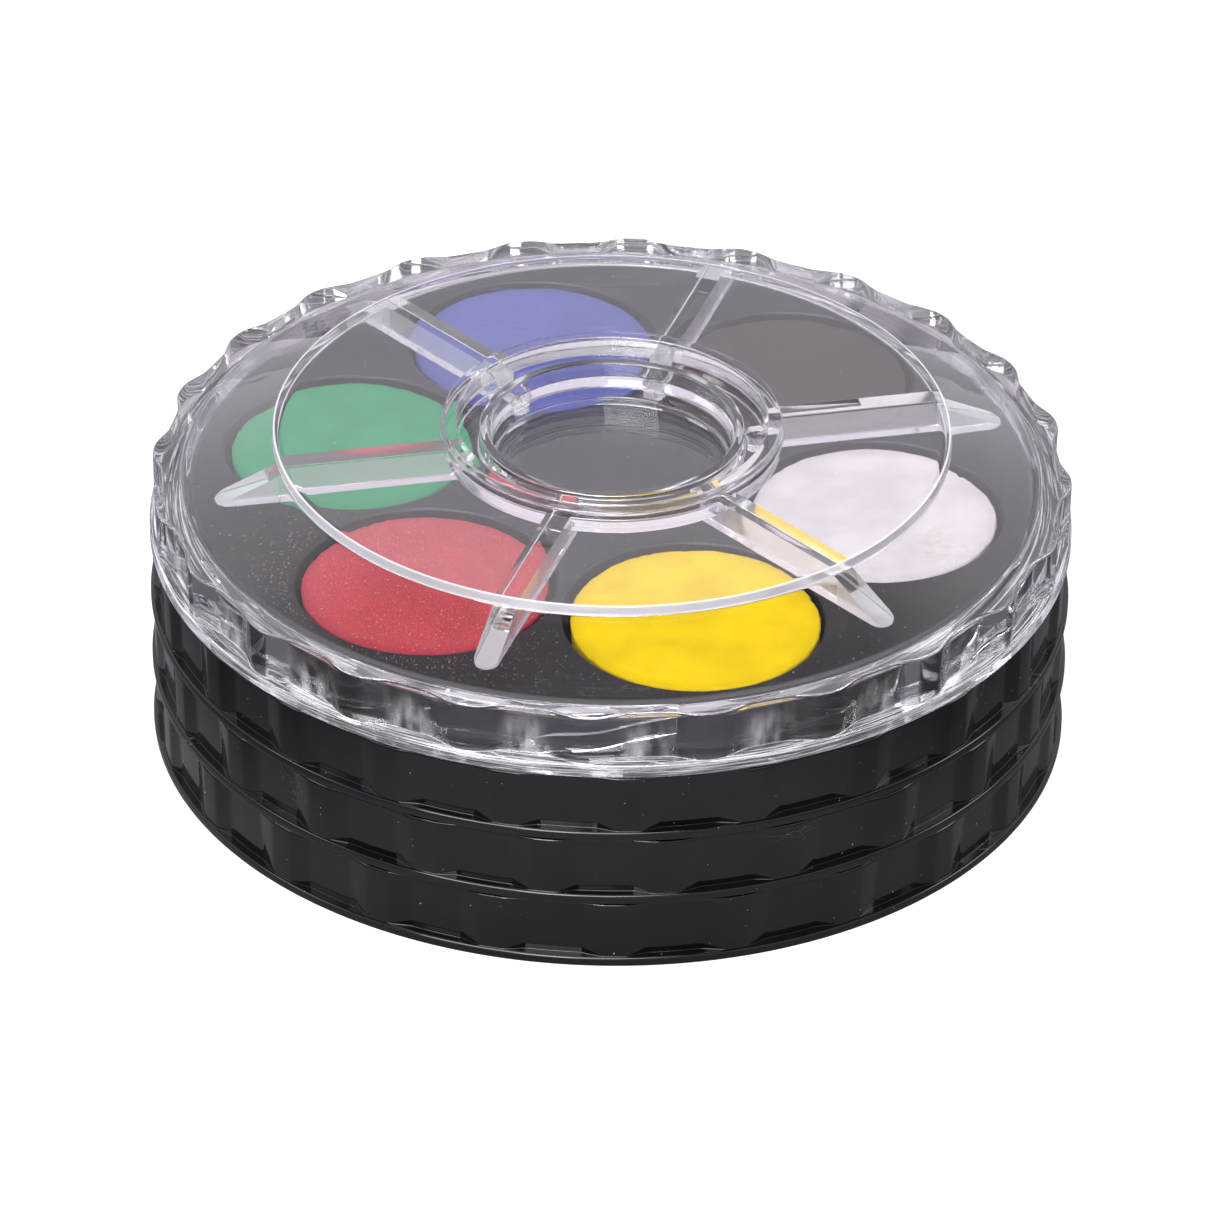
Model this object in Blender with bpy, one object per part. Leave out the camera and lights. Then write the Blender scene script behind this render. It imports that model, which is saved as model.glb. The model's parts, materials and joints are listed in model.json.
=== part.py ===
# Watercolor pan set: three screw-together pan discs of six paint tablets each,
# under a clear lid that turns over to be the mixing palette.
# Units are metres, +Z is up, and the stack stands on Z = 0.

import math

import bmesh
import bpy

# Driving sizes
flange_radius = 0.0575
layer_pitch = 0.0091
layer_gap = 0.0003
flute_count = 24
paint_count = 6

# Fluted band, shared by the discs and the lid
band_height = layer_pitch - layer_gap
flange_height = 0.0012
crest_radius = flange_radius - 0.0002
# Each pair is the value at the foot of the flutes and at their top; shares are of one flute
disc_flutes = {"depth": (0.00075, 0.00050), "crest": (0.21, 0.19), "floor": (0.455, 0.42)}
lid_flutes = {"depth": (0.00170, 0.00135), "crest": (0.18, 0.20), "floor": (0.40, 0.38)}
skirt_inner_radius = 0.0536
shoulder_thickness = 0.0014

# Collar, tray and pans of a disc
collar_outer_radius = 0.0522
collar_inner_radius = 0.0508
collar_height = 0.0060
tray_top = band_height + collar_height
tray_thickness = 0.0014
pan_circle_radius = 0.0332
pan_radius = 0.0159
pan_wall = 0.0011
pan_floor = 0.0092
pan_floor_thickness = 0.0012

# Paint tablets
tablet_radius = 0.0152
tablet_gap = 0.0003
tablet_thickness = 0.0049
tablet_edge = 0.0004

# Screw lugs
lug_arc = math.radians(18)
lug_depth = 0.0009
lug_thickness = 0.0014
lug_root = 0.0005
collar_lug_angle = math.radians(12)
skirt_lug_angle = math.radians(32)
lid_lug_angle = math.radians(17.5)
collar_lug_foot = band_height + 0.0008
collar_lug_rise = 0.0030
skirt_lug_foot = 0.0012
skirt_lug_rise = 0.0036

# Lid
lid_foot = 3 * layer_pitch
lid_band_height = 0.0082
lid_flange_height = 0.0017
lid_wall = 0.0013
slope_foot_radius = 0.0529
slope_top = 0.0129
plateau_radius = 0.0420
plateau_top = 0.0142
plateau_thickness = 0.0020
ring_outer_radius = 0.0210
ring_inner_radius = 0.0193
ring_top = 0.0153
ring_foot = 0.0101
groove_floor = 0.0114
cup_outer_radius = 0.0165
cup_rim_radius = 0.0153
cup_floor_radius = 0.0146
cup_rim = 0.0139
cup_floor = 0.0092
cup_floor_thickness = 0.0012
rib_width = 0.0030
rib_foot = 0.0080
rib_inner_radius = 0.0170

# Turn of each screwed-on layer, from the bottom disc up to the lid
disc_turns = {"disc_3": math.radians(31.2), "disc_2": math.radians(37.5), "disc_1": math.radians(47.8)}
lid_turn = math.radians(12.5)

# Paint colours of each disc, anticlockwise, with disc_1 starting at the yellow
paints = {
    "disc_1": {
        "yellow": (0.90, 0.66, 0.01), "white": (0.78, 0.74, 0.74), "black": (0.03, 0.03, 0.04),
        "blue": (0.10, 0.15, 0.50), "green": (0.10, 0.42, 0.22), "red": (0.58, 0.04, 0.05),
    },
    "disc_2": {
        "orange": (0.85, 0.25, 0.02), "lemon": (0.85, 0.78, 0.08), "turquoise": (0.03, 0.42, 0.48),
        "violet": (0.20, 0.06, 0.38), "magenta": (0.60, 0.03, 0.25), "grass": (0.22, 0.50, 0.06),
    },
    "disc_3": {
        "ochre": (0.55, 0.30, 0.06), "umber": (0.16, 0.07, 0.03), "sienna": (0.38, 0.10, 0.03),
        "olive": (0.16, 0.20, 0.04), "navy": (0.03, 0.05, 0.22), "grey": (0.28, 0.28, 0.30),
    },
}
yellow_place = 4   # the disc_1 pan that holds the yellow, counted anticlockwise from the disc's own +X

inner_segments = 2 * flute_count
pan_segments = 24
tablet_segments = 20


def clear_scene():
    for thing in list(bpy.data.objects):
        bpy.data.objects.remove(thing, do_unlink=True)


def make_material(name, color, roughness, alpha=1.0, transmission=0.0):
    material = bpy.data.materials.new(name)
    material.use_nodes = True
    shader = material.node_tree.nodes["Principled BSDF"]
    shader.inputs["Base Color"].default_value = (*color, 1.0)
    shader.inputs["Roughness"].default_value = roughness
    shader.inputs["Metallic"].default_value = 0.0
    shader.inputs["Alpha"].default_value = alpha
    shader.inputs["Transmission Weight"].default_value = transmission
    material.diffuse_color = (*color, alpha)
    return material


def circle(radius, z, count=inner_segments):
    step = 2 * math.pi / count
    return [(radius * math.cos(i * step), radius * math.sin(i * step), z) for i in range(count)]


def fluted_circle(z, flutes, end):
    # Four points a flute: both corners of the crest, then both corners of the valley floor.
    # The end is 0 at the foot of the flutes and 1 at their top.
    depth, crest_share, floor_share = (flutes[key][end] for key in ("depth", "crest", "floor"))
    pitch = 2 * math.pi / flute_count
    points = []
    for i in range(flute_count):
        crest = i * pitch
        valley = crest + pitch / 2
        corners = (
            (crest_radius, crest - crest_share * pitch / 2),
            (crest_radius, crest + crest_share * pitch / 2),
            (crest_radius - depth, valley - floor_share * pitch / 2),
            (crest_radius - depth, valley + floor_share * pitch / 2),
        )
        points += [(r * math.cos(a), r * math.sin(a), z) for r, a in corners]
    return points


def flange_circle(z, flutes):
    # The flange's edge has its points at the same angles as the foot of the flutes.
    foot = fluted_circle(z, flutes, 0)
    points = []
    for x, y, height in foot:
        scale = flange_radius / math.hypot(x, y)
        points.append((x * scale, y * scale, height))
    return points


def band_loops(flutes, top, flange_top):
    # From the top edge of the flutes, down and under to the foot of the flange.
    return [
        fluted_circle(top, flutes, 1),
        fluted_circle(flange_top, flutes, 0),
        flange_circle(flange_top, flutes),
        flange_circle(0.0, flutes),
    ]


def bridge(mesh, first, second):
    # Faces between two loops, where one may have twice as many points as the other.
    if len(first) == len(second):
        count = len(first)
        for i in range(count):
            j = (i + 1) % count
            mesh.faces.new((first[i], first[j], second[j], second[i]))
        return
    dense, sparse = (first, second) if len(first) > len(second) else (second, first)
    count = len(sparse)
    for i in range(count):
        after = (i + 1) % count
        dense_after = (2 * i + 2) % len(dense)
        mesh.faces.new((dense[2 * i], dense[2 * i + 1], sparse[i]))
        mesh.faces.new((dense[2 * i + 1], dense[dense_after], sparse[after], sparse[i]))


def mesh_object(name, mesh):
    bmesh.ops.recalc_face_normals(mesh, faces=mesh.faces)
    data = bpy.data.meshes.new(name)
    mesh.to_mesh(data)
    mesh.free()
    made = bpy.data.objects.new(name, data)
    bpy.context.scene.collection.objects.link(made)
    return made


def loft(name, loops):
    # A closed solid through a run of loops, with a flat cap at each end.
    mesh = bmesh.new()
    rings = [[mesh.verts.new(point) for point in loop] for loop in loops]
    for first, second in zip(rings, rings[1:]):
        bridge(mesh, first, second)
    mesh.faces.new(rings[0])
    mesh.faces.new(rings[-1])
    return mesh_object(name, mesh)


def cylinders(name, radius, low, high, places):
    # Upright cylinders that don't touch each other, in one mesh.
    mesh = bmesh.new()
    for angle in places:
        center = (pan_circle_radius * math.cos(angle), pan_circle_radius * math.sin(angle))
        rings = []
        for z in (low, high):
            ring = circle(radius, z, pan_segments)
            rings.append([mesh.verts.new((x + center[0], y + center[1], h)) for x, y, h in ring])
        bridge(mesh, rings[0], rings[1])
        mesh.faces.new(rings[0])
        mesh.faces.new(rings[1])
    return mesh_object(name, mesh)


def screw_lugs(name, root_radius, tip_radius, foot, rise, first_angle):
    # Six short helical ridges, rising anticlockwise as on a right-hand thread.
    steps = 3
    mesh = bmesh.new()
    for i in range(paint_count):
        start = first_angle + i * 2 * math.pi / paint_count - lug_arc / 2
        rings = []
        for j in range(steps + 1):
            angle = start + lug_arc * j / steps
            z = foot + rise * j / steps
            corners = ((root_radius, z), (tip_radius, z + 0.0003), (tip_radius, z + lug_thickness - 0.0003),
                       (root_radius, z + lug_thickness))
            rings.append([mesh.verts.new((r * math.cos(angle), r * math.sin(angle), h)) for r, h in corners])
        for first, second in zip(rings, rings[1:]):
            bridge(mesh, first, second)
        mesh.faces.new(rings[0])
        mesh.faces.new(rings[-1])
    return mesh_object(name, mesh)


def combine(body, tools):
    # Runs the Booleans in order and leaves one plain mesh.
    for operation, tool in tools:
        modifier = body.modifiers.new(tool.name, "BOOLEAN")
        modifier.operation = operation
        modifier.solver = "EXACT"
        modifier.object = tool
        tool.hide_render = True
        tool.display_type = "WIRE"
    bpy.context.view_layer.update()
    evaluated = body.evaluated_get(bpy.context.evaluated_depsgraph_get())
    result = bpy.data.meshes.new_from_object(evaluated)
    bpy.data.objects.remove(body, do_unlink=True)
    for _, tool in tools:
        bpy.data.objects.remove(tool, do_unlink=True)
    return result


def pan_places(first, step):
    return [math.radians(60) * i for i in range(first, paint_count, step)]


def make_disc_mesh():
    shell = loft("disc_shell", [
        circle(collar_outer_radius, tray_top),
        circle(collar_outer_radius, band_height),
        *band_loops(disc_flutes, band_height, flange_height),
        circle(skirt_inner_radius, 0.0),
        circle(skirt_inner_radius, band_height - shoulder_thickness),
        circle(collar_inner_radius, band_height - shoulder_thickness),
        circle(collar_inner_radius, tray_top - tray_thickness),
    ])
    cup_low = pan_floor - pan_floor_thickness
    cup_high = tray_top - tray_thickness / 2
    # Neighbouring cups share a wall, so they join the shell in two sets of three.
    cups_even = cylinders("cups_even", pan_radius + pan_wall, cup_low, cup_high, pan_places(0, 2))
    cups_odd = cylinders("cups_odd", pan_radius + pan_wall, cup_low, cup_high, pan_places(1, 2))
    pans = cylinders("pans", pan_radius, pan_floor, tray_top + 0.001, pan_places(0, 1))
    collar_lugs = screw_lugs("collar_lugs", collar_outer_radius - lug_root, collar_outer_radius + lug_depth,
                             collar_lug_foot, collar_lug_rise, collar_lug_angle)
    skirt_lugs = screw_lugs("skirt_lugs", skirt_inner_radius + lug_root, skirt_inner_radius - lug_depth,
                            skirt_lug_foot, skirt_lug_rise, skirt_lug_angle)
    return combine(shell, [("UNION", cups_even), ("UNION", cups_odd), ("UNION", collar_lugs),
                           ("UNION", skirt_lugs), ("DIFFERENCE", pans)])


def make_ribs():
    # Six bars under the lid that part it into mixing wells once it is turned over.
    slope = (slope_top - lid_band_height) / (slope_foot_radius - plateau_radius)
    under = lid_wall * 0.5
    end_radius = plateau_radius + (slope_top - under - rib_foot) / slope
    profile = [
        (rib_inner_radius, rib_foot),
        (rib_inner_radius, ring_foot + under),
        (ring_outer_radius - under, ring_foot + under),
        (ring_outer_radius - under, slope_top - under),
        (plateau_radius - under, slope_top - under),
        (end_radius, rib_foot),
    ]
    mesh = bmesh.new()
    for i in range(paint_count):
        angle = math.radians(60) * i
        along = (math.cos(angle), math.sin(angle))
        sides = []
        for offset in (-rib_width / 2, rib_width / 2):
            side = []
            for r, z in profile:
                side.append(mesh.verts.new((r * along[0] - offset * along[1], r * along[1] + offset * along[0], z)))
            sides.append(side)
        bridge(mesh, sides[0], sides[1])
        mesh.faces.new(sides[0])
        mesh.faces.new(sides[1])
    return mesh_object("ribs", mesh)


def make_lid_mesh():
    shell = loft("lid_shell", [
        circle(cup_floor_radius, cup_floor),
        circle(cup_rim_radius, cup_rim),
        circle(cup_outer_radius, cup_rim),
        circle(cup_outer_radius, groove_floor),
        circle(ring_inner_radius, groove_floor),
        circle(ring_inner_radius, ring_top),
        circle(ring_outer_radius, ring_top),
        circle(ring_outer_radius, plateau_top),
        circle(plateau_radius, plateau_top),
        circle(plateau_radius, slope_top),
        circle(slope_foot_radius, lid_band_height),
        *band_loops(lid_flutes, lid_band_height, lid_flange_height),
        circle(skirt_inner_radius, 0.0),
        circle(skirt_inner_radius, lid_band_height - lid_wall),
        circle(slope_foot_radius - 0.0003, lid_band_height - lid_wall),
        circle(plateau_radius - 0.0010, plateau_top - plateau_thickness),
        circle(ring_outer_radius, plateau_top - plateau_thickness),
        circle(ring_outer_radius, ring_foot),
        circle(cup_outer_radius - 0.0003, ring_foot),
        circle(cup_outer_radius - 0.0006, cup_floor - cup_floor_thickness),
    ])
    lugs = screw_lugs("lid_lugs", skirt_inner_radius + lug_root, skirt_inner_radius - lug_depth,
                      skirt_lug_foot, skirt_lug_rise, lid_lug_angle)
    return combine(shell, [("UNION", make_ribs()), ("UNION", lugs)])


def make_tablet_mesh():
    tablet = loft("tablet", [
        circle(tablet_radius - tablet_edge, tablet_thickness, tablet_segments),
        circle(tablet_radius, tablet_thickness - tablet_edge, tablet_segments),
        circle(tablet_radius, 0.0, tablet_segments),
    ])
    return combine(tablet, [])


def place(name, mesh, material, location, turn):
    mesh.name = name
    mesh.materials.clear()
    mesh.materials.append(material)
    mesh.shade_smooth()
    mesh.set_sharp_from_angle(angle=math.radians(18))
    made = bpy.data.objects.new(name, mesh)
    made.location = location
    made.rotation_euler = (0.0, 0.0, turn)
    bpy.context.scene.collection.objects.link(made)
    return made


def place_tablets(disc_name, foot, turn, tablet_mesh):
    first_place = yellow_place if disc_name == "disc_1" else 0
    for i, (paint, color) in enumerate(paints[disc_name].items()):
        angle = turn + math.radians(60) * (first_place + i)
        x = pan_circle_radius * math.cos(angle)
        y = pan_circle_radius * math.sin(angle)
        z = foot + pan_floor + tablet_gap
        material = make_material("paint_" + paint, color, 0.85)
        place("tablet_" + paint, tablet_mesh.copy(), material, (x, y, z), angle)


def build():
    clear_scene()
    black_plastic = make_material("black_plastic", (0.022, 0.020, 0.024), 0.28)
    clear_plastic = make_material("clear_plastic", (0.92, 0.92, 0.95), 0.05, alpha=0.35, transmission=1.0)
    disc_mesh = make_disc_mesh()
    tablet_mesh = make_tablet_mesh()
    for i, (disc_name, turn) in enumerate(disc_turns.items()):
        foot = i * layer_pitch
        place(disc_name, disc_mesh.copy(), black_plastic, (0.0, 0.0, foot), turn)
        place_tablets(disc_name, foot, turn, tablet_mesh)
    place("lid", make_lid_mesh(), clear_plastic, (0.0, 0.0, lid_foot), lid_turn)


build()
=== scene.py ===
import json
import math

import bmesh
import bpy
from mathutils import Matrix, Vector, noise


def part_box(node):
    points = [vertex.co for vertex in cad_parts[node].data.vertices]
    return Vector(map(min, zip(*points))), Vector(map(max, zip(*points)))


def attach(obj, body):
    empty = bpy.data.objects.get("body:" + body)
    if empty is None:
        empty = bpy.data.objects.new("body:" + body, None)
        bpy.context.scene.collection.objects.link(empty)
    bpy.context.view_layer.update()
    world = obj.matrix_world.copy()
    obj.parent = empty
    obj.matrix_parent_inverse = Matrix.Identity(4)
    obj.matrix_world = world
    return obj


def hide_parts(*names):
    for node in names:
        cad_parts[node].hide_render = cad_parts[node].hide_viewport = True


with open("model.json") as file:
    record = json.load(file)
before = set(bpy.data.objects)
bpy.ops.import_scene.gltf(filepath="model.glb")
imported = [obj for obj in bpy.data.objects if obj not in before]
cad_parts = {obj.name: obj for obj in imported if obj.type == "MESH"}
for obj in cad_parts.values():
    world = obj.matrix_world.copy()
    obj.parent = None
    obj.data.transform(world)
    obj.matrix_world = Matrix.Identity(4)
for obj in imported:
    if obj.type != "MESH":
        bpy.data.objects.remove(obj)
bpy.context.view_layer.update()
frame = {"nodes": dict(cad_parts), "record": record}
mm = 0.001
fullTurn = 2 * math.pi
bodyNodes = frame["record"]["behaviour"]["bodies"]
discBodies = {"bottom_disc": "disc_3", "middle_disc": "disc_2", "top_disc": "disc_1"}
print("frame loaded:", len(frame["nodes"]), "solids")


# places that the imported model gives

def centerOf(node):
    low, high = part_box(node)
    return (low + high) / 2


def tabletsOf(body):
    return [node for node in bodyNodes[body] if node.startswith("tablet_")]


def turnOf(body):
    # every disc's own +X runs through the middle of a pan
    center = centerOf(tabletsOf(body)[0])
    return math.atan2(center.y, center.x)


# small helpers

def mix(first, second, share):
    return first + (second - first) * share


def clamp(value):
    return min(1.0, max(0.0, value))


def linkObject(name, mesh):
    made = bpy.data.objects.new(name, mesh)
    bpy.context.scene.collection.objects.link(made)
    return made


def meshFrom(name, points, faces):
    # points are in millimetres
    mesh = bpy.data.meshes.new(name)
    mesh.from_pydata([(x * mm, y * mm, z * mm) for x, y, z in points], [], faces)
    mesh.validate()
    return mesh


def outward(mesh):
    # merge doubles, then turn every face outwards
    work = bmesh.new()
    work.from_mesh(mesh)
    bmesh.ops.remove_doubles(work, verts=work.verts, dist=0.0005 * mm)
    bmesh.ops.recalc_face_normals(work, faces=work.faces)
    work.to_mesh(mesh)
    work.free()
    return mesh


def stackRings(name, rings):
    # closed skin over rings that have the same number of points
    count = len(rings[0])
    points = [point for ring in rings for point in ring]
    faces = [tuple(reversed(range(count)))]
    for level in range(len(rings) - 1):
        for i in range(count):
            j = (i + 1) % count
            a, b = level * count, (level + 1) * count
            faces.append((a + i, a + j, b + j, b + i))
    faces.append(tuple(range(len(points) - count, len(points))))
    return outward(meshFrom(name, points, faces))


def splitAcross(mesh, place):
    # an edge loop across the mesh at this X, in millimetres
    work = bmesh.new()
    work.from_mesh(mesh)
    everything = work.verts[:] + work.edges[:] + work.faces[:]
    bmesh.ops.bisect_plane(work, geom=everything, dist=0.001 * mm,
                           plane_co=(place * mm, 0, 0), plane_no=(1, 0, 0))
    work.to_mesh(mesh)
    work.free()
    return mesh


def plainMesh(made):
    # the evaluated object as a mesh with no modifiers left
    depsgraph = bpy.context.evaluated_depsgraph_get()
    mesh = bpy.data.meshes.new_from_object(made.evaluated_get(depsgraph), depsgraph=depsgraph)
    made.modifiers.clear()
    made.data = mesh
    return made


def removeObject(made):
    bpy.data.objects.remove(made)


def joinMeshes(name, objects):
    work = bmesh.new()
    for made in objects:
        work.from_mesh(made.data)
        removeObject(made)
    mesh = bpy.data.meshes.new(name)
    work.to_mesh(mesh)
    work.free()
    return linkObject(name, mesh)


def cut(body, operation, tool):
    step = body.modifiers.new(operation, "BOOLEAN")
    step.operation = operation
    step.solver = "EXACT"
    step.object = tool
    plainMesh(body)
    removeObject(tool)
    return body


def smoothByAngle(mesh, degrees):
    work = bmesh.new()
    work.from_mesh(mesh)
    limit = math.radians(degrees)
    for face in work.faces:
        face.smooth = True
    for edge in work.edges:
        edge.smooth = len(edge.link_faces) == 2 and edge.calc_face_angle(0) < limit
    work.to_mesh(mesh)
    work.free()


def finishPiece(made, body, replaced, degrees=32):
    outward(made.data)
    smoothByAngle(made.data, degrees)
    weighted = made.modifiers.new("weighted normals", "WEIGHTED_NORMAL")
    weighted.keep_sharp = True
    weighted.weight = 80
    plainMesh(made)
    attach(made, body)
    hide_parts(*replaced)
    return made


# geometry nodes

def startTree(name, inputs):
    tree = bpy.data.node_groups.new(name, "GeometryNodeTree")
    tree.interface.new_socket("Geometry", in_out="INPUT", socket_type="NodeSocketGeometry")
    for label, kind in inputs:
        tree.interface.new_socket(label, in_out="INPUT", socket_type=kind)
    tree.interface.new_socket("Geometry", in_out="OUTPUT", socket_type="NodeSocketGeometry")
    return tree, tree.nodes.new("NodeGroupInput"), tree.nodes.new("NodeGroupOutput")


def endTree(tree, instances, materialSocket, groupOut):
    realize = tree.nodes.new("GeometryNodeRealizeInstances")
    paint = tree.nodes.new("GeometryNodeSetMaterial")
    tree.links.new(instances, realize.inputs["Geometry"])
    tree.links.new(realize.outputs["Geometry"], paint.inputs["Geometry"])
    tree.links.new(materialSocket, paint.inputs["Material"])
    tree.links.new(paint.outputs["Geometry"], groupOut.inputs["Geometry"])


def treeMath(tree, operation, first, second):
    made = tree.nodes.new("ShaderNodeMath")
    made.operation = operation
    for socket, value in zip(made.inputs, (first, second)):
        if isinstance(value, (int, float)):
            socket.default_value = value
        else:
            tree.links.new(value, socket)
    return made.outputs[0]


def makeRingTree():
    # copies of a shape, turned evenly about the axis
    tree, groupIn, groupOut = startTree("ringOfCopies", [
        ("Count", "NodeSocketInt"), ("First Angle", "NodeSocketFloat"), ("Material", "NodeSocketMaterial")])
    points = tree.nodes.new("GeometryNodePoints")
    index = tree.nodes.new("GeometryNodeInputIndex")
    rotation = tree.nodes.new("ShaderNodeCombineXYZ")
    copies = tree.nodes.new("GeometryNodeInstanceOnPoints")
    tree.links.new(groupIn.outputs["Count"], points.inputs["Count"])
    step = treeMath(tree, "DIVIDE", fullTurn, groupIn.outputs["Count"])
    angle = treeMath(tree, "MULTIPLY", index.outputs[0], step)
    angle = treeMath(tree, "ADD", angle, groupIn.outputs["First Angle"])
    tree.links.new(angle, rotation.inputs["Z"])
    tree.links.new(points.outputs[0], copies.inputs["Points"])
    tree.links.new(groupIn.outputs["Geometry"], copies.inputs["Instance"])
    tree.links.new(rotation.outputs[0], copies.inputs["Rotation"])
    endTree(tree, copies.outputs[0], groupIn.outputs["Material"], groupOut)
    return tree


def makeCrumbTree():
    # flakes scattered over faces, thickest where the attribute "dust" is 1
    tree, groupIn, groupOut = startTree("scatterCrumbs", [
        ("Density", "NodeSocketFloat"), ("Crumb Size", "NodeSocketFloat"), ("Seed", "NodeSocketInt"),
        ("Material", "NodeSocketMaterial")])
    amount = tree.nodes.new("GeometryNodeInputNamedAttribute")
    amount.data_type = "FLOAT"
    amount.inputs["Name"].default_value = "dust"
    scatter = tree.nodes.new("GeometryNodeDistributePointsOnFaces")
    scatter.distribute_method = "RANDOM"
    flake = tree.nodes.new("GeometryNodeMeshIcoSphere")
    flake.inputs["Subdivisions"].default_value = 1
    copies = tree.nodes.new("GeometryNodeInstanceOnPoints")
    turn = tree.nodes.new("FunctionNodeRandomValue")
    turn.data_type = "FLOAT_VECTOR"
    turn.inputs["Max"].default_value = (fullTurn, fullTurn, fullTurn)
    size = tree.nodes.new("FunctionNodeRandomValue")
    size.data_type = "FLOAT_VECTOR"
    size.inputs["Min"].default_value = (0.25, 0.2, 0.12)
    size.inputs["Max"].default_value = (1.0, 0.8, 0.45)
    links = tree.links
    links.new(groupIn.outputs["Geometry"], scatter.inputs["Mesh"])
    density = treeMath(tree, "MULTIPLY", amount.outputs["Attribute"], groupIn.outputs["Density"])
    links.new(density, scatter.inputs["Density"])
    links.new(groupIn.outputs["Seed"], scatter.inputs["Seed"])
    links.new(groupIn.outputs["Crumb Size"], flake.inputs["Radius"])
    links.new(groupIn.outputs["Seed"], turn.inputs["Seed"])
    links.new(treeMath(tree, "ADD", groupIn.outputs["Seed"], 7), size.inputs["Seed"])
    links.new(scatter.outputs["Points"], copies.inputs["Points"])
    links.new(flake.outputs["Mesh"], copies.inputs["Instance"])
    links.new(turn.outputs["Value"], copies.inputs["Rotation"])
    links.new(size.outputs["Value"], copies.inputs["Scale"])
    endTree(tree, copies.outputs[0], groupIn.outputs["Material"], groupOut)
    return tree


ringTree = makeRingTree()
crumbTree = makeCrumbTree()


def runTree(made, tree, **values):
    # inputs are set by each socket's identifier before the first evaluation
    step = made.modifiers.new(tree.name, "NODES")
    step.node_group = tree
    for socket in tree.interface.items_tree:
        key = socket.name.replace(" ", "")
        if socket.in_out == "INPUT" and key in values:
            step[socket.identifier] = values[key]
    return plainMesh(made)


def ringOf(name, mesh, count, firstDegrees, material):
    shape = linkObject(name, mesh)
    return runTree(shape, ringTree, Count=count, FirstAngle=math.radians(firstDegrees), Material=material)


# material helpers

def newMaterial(name):
    material = bpy.data.materials.new(name)
    material.use_nodes = True
    tree = material.node_tree
    tree.nodes.clear()
    output = tree.nodes.new("ShaderNodeOutputMaterial")
    shader = tree.nodes.new("ShaderNodeBsdfPrincipled")
    tree.links.new(shader.outputs[0], output.inputs["Surface"])
    return material, tree, shader, output


def objectPlace(tree, scale=(1, 1, 1)):
    place = tree.nodes.new("ShaderNodeTexCoord")
    mapping = tree.nodes.new("ShaderNodeMapping")
    mapping.inputs["Scale"].default_value = scale
    tree.links.new(place.outputs["Object"], mapping.inputs["Vector"])
    return mapping.outputs[0]


def noiseOf(tree, place, size, detail=3.0, rough=0.5, distortion=0.0):
    # size is the width of one blotch in millimetres
    made = tree.nodes.new("ShaderNodeTexNoise")
    made.inputs["Scale"].default_value = 1 / (size * mm)
    made.inputs["Detail"].default_value = detail
    made.inputs["Roughness"].default_value = rough
    made.inputs["Distortion"].default_value = distortion
    tree.links.new(place, made.inputs["Vector"])
    return made.outputs["Fac"]


def stepBetween(tree, value, low, high, outLow=0.0, outHigh=1.0):
    made = tree.nodes.new("ShaderNodeMapRange")
    made.interpolation_type = "SMOOTHSTEP"
    for name, number in (("From Min", low), ("From Max", high), ("To Min", outLow), ("To Max", outHigh)):
        made.inputs[name].default_value = number
    tree.links.new(value, made.inputs["Value"])
    return made.outputs["Result"]


def mixColors(tree, share, first, second):
    made = tree.nodes.new("ShaderNodeMix")
    made.data_type = "RGBA"
    for socket, value in ((made.inputs[0], share), (made.inputs[6], first), (made.inputs[7], second)):
        if isinstance(value, tuple):
            socket.default_value = (*value, 1.0)
        elif isinstance(value, (int, float)):
            socket.default_value = value
        else:
            tree.links.new(value, socket)
    return made.outputs[2]


def specksOf(tree, place, spacing, radius, share, seedShift=0.0):
    # round specks: about one in every cell of that spacing, kept by chance
    shifted = tree.nodes.new("ShaderNodeVectorMath")
    shifted.operation = "ADD"
    shifted.inputs[1].default_value = (seedShift * mm, seedShift * 2 * mm, -seedShift * mm)
    tree.links.new(place, shifted.inputs[0])
    cells = tree.nodes.new("ShaderNodeTexVoronoi")
    cells.inputs["Scale"].default_value = 1 / (spacing * mm)
    cells.inputs["Randomness"].default_value = 1.0
    tree.links.new(shifted.outputs[0], cells.inputs["Vector"])
    parts = tree.nodes.new("ShaderNodeSeparateColor")
    tree.links.new(cells.outputs["Color"], parts.inputs["Color"])
    size = treeMath(tree, "MULTIPLY", parts.outputs[0], radius / spacing)
    near = treeMath(tree, "LESS_THAN", cells.outputs["Distance"], size)
    kept = treeMath(tree, "LESS_THAN", parts.outputs[1], share)
    return treeMath(tree, "MULTIPLY", near, kept)


def hairsOf(tree, stretch, width, amount, turn=0.0):
    # long thin lines: noise drawn out along one way, cut to a narrow level
    place = tree.nodes.new("ShaderNodeTexCoord")
    mapping = tree.nodes.new("ShaderNodeMapping")
    mapping.inputs["Rotation"].default_value = (0, 0, turn)
    mapping.inputs["Scale"].default_value = (1 / stretch, 1, 1)
    tree.links.new(place.outputs["Object"], mapping.inputs["Vector"])
    lines = noiseOf(tree, mapping.outputs[0], width, 2.0, 0.5, 0.3)
    level = treeMath(tree, "ABSOLUTE", treeMath(tree, "SUBTRACT", lines, 0.5), 0)
    thin = stepBetween(tree, level, 0.0, 0.012, 1.0, 0.0)
    patches = noiseOf(tree, mapping.outputs[0], width * 9, 1.0)
    chosen = stepBetween(tree, patches, 1 - amount, 1 - amount + 0.06)
    return treeMath(tree, "MULTIPLY", thin, chosen)


def bumpFrom(tree, height, strength, distance, before=None):
    made = tree.nodes.new("ShaderNodeBump")
    made.inputs["Strength"].default_value = strength
    made.inputs["Distance"].default_value = distance * mm
    tree.links.new(height, made.inputs["Height"])
    if before is not None:
        tree.links.new(before, made.inputs["Normal"])
    return made.outputs[0]


# black plastic, glossy on the outside and duller and dustier on the tray

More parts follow.
